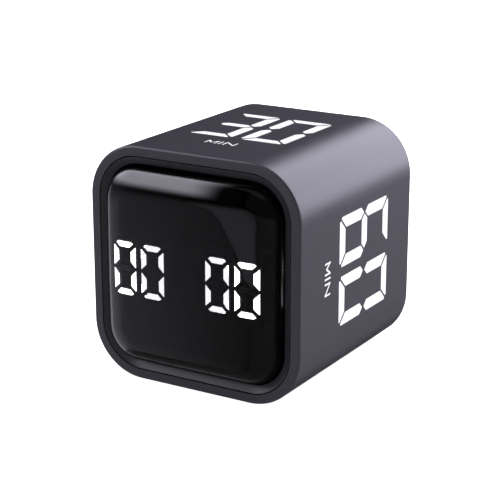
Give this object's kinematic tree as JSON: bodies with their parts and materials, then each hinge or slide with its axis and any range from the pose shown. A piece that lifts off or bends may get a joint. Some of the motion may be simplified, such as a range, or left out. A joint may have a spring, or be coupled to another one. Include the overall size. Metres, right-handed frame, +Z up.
{
  "type": "kitchen timer",
  "caption": "Cube timer with a lit seven-segment display behind a domed front lens, a preset number on each side, and press buttons, a slide switch and a USB-C socket at the back.",
  "frame": {"origin": "middle of the base face, halfway between the rims of the sleeve", "axes": "+Z up, away from the base; -Y the way the display faces; +X to the right for someone who reads it"},
  "size_m": [0.06, 0.0636, 0.0606],
  "materials": {
    "grey_sleeve": "satin metallic grey paint",
    "white_print": "flush white paint",
    "black_gloss": "glossy black",
    "smoked_lens": "glossy, smoked, see-through",
    "lit_white": "milky, lit from behind",
    "unlit_white": "milky",
    "black_satin": "fine texture",
    "black_inner": "matt",
    "chip_black": "matt",
    "board_green": "solder resist",
    "steel": "plated",
    "cream_plastic": "satin",
    "foil": "satin foil pouch",
    "foam": "foam",
    "felt": "felt",
    "red_wire": "satin",
    "black_wire": "satin",
    "weight_metal": "sintered",
    "grey_plastic": "satin",
    "clear_plastic": "clear"
  },
  "bodies": {
    "case": {"outer_sleeve": "grey_sleeve", "number_30_top": "white_print", "number_60_right": "white_print", "number_5_base": "white_print", "number_15_left": "white_print", "front_bezel": "black_gloss", "lens_gasket": "black_inner", "front_lens": "smoked_lens", "led_reflector": "black_inner", "segment_light_guides": "lit_white", "middle_light_guides": "unlit_white", "segment_leds": "cream_plastic", "display_board": "board_green", "display_board_screws": "steel", "display_driver_chip": "chip_black", "display_socket": "cream_plastic", "ribbon_cable": "cream_plastic", "chassis": "black_inner", "chassis_screws": "steel", "battery_cell": "foil", "battery_tape": "foam", "battery_protection_board": "board_green", "battery_lead_red": "red_wire", "battery_lead_black": "black_wire", "battery_plug": "cream_plastic", "battery_socket": "cream_plastic", "main_board": "board_green", "main_board_screws": "steel", "ribbon_socket": "cream_plastic", "microcontroller": "chip_black", "gravity_sensor": "chip_black", "charge_controller": "chip_black", "resistors_and_capacitors": "cream_plastic", "usb_c_shell": "steel", "usb_c_tongue": "black_inner", "buzzer": "black_inner", "buzzer_felt": "felt", "motor_can": "steel", "motor_clip": "steel", "minute_switch": "black_inner", "start_switch": "black_inner", "second_switch": "black_inner", "sound_switch_body": "steel", "charge_led": "cream_plastic", "charge_light_pipe": "clear_plastic", "rear_cover": "black_satin", "rear_cover_screws": "steel"},
    "minute_key": {"minute_button": "black_satin", "minute_plunger": "grey_plastic"},
    "start_key": {"start_button": "black_satin", "start_plunger": "grey_plastic"},
    "second_key": {"second_button": "black_satin", "second_plunger": "grey_plastic"},
    "sound_slider": {"sound_switch_cap": "black_satin", "sound_switch_stem": "black_inner"},
    "motor_rotor": {"motor_shaft": "steel", "motor_weight": "weight_metal"}
  },
  "joints": [
    {"name": "minute_press", "type": "slide", "parent": "case", "child": "minute_key", "axis": [0, -1, 0], "range_m": [0, 0.0005], "stiffness_N_per_m": 1500, "springref_m": -0.0005},
    {"name": "start_press", "type": "slide", "parent": "case", "child": "start_key", "axis": [0, -1, 0], "range_m": [0, 0.0005], "stiffness_N_per_m": 1500, "springref_m": -0.0005},
    {"name": "second_press", "type": "slide", "parent": "case", "child": "second_key", "axis": [0, -1, 0], "range_m": [0, 0.0005], "stiffness_N_per_m": 1500, "springref_m": -0.0005},
    {"name": "sound_slide", "type": "slide", "parent": "case", "child": "sound_slider", "axis": [1, 0, 0], "range_m": [-0.002, 0.002]},
    {"name": "motor_spin", "type": "hinge", "parent": "case", "child": "motor_rotor", "pos_m": [0.004, 0.0146, 0.0113], "axis": [1, 0, 0], "continuous": true}
  ]
}
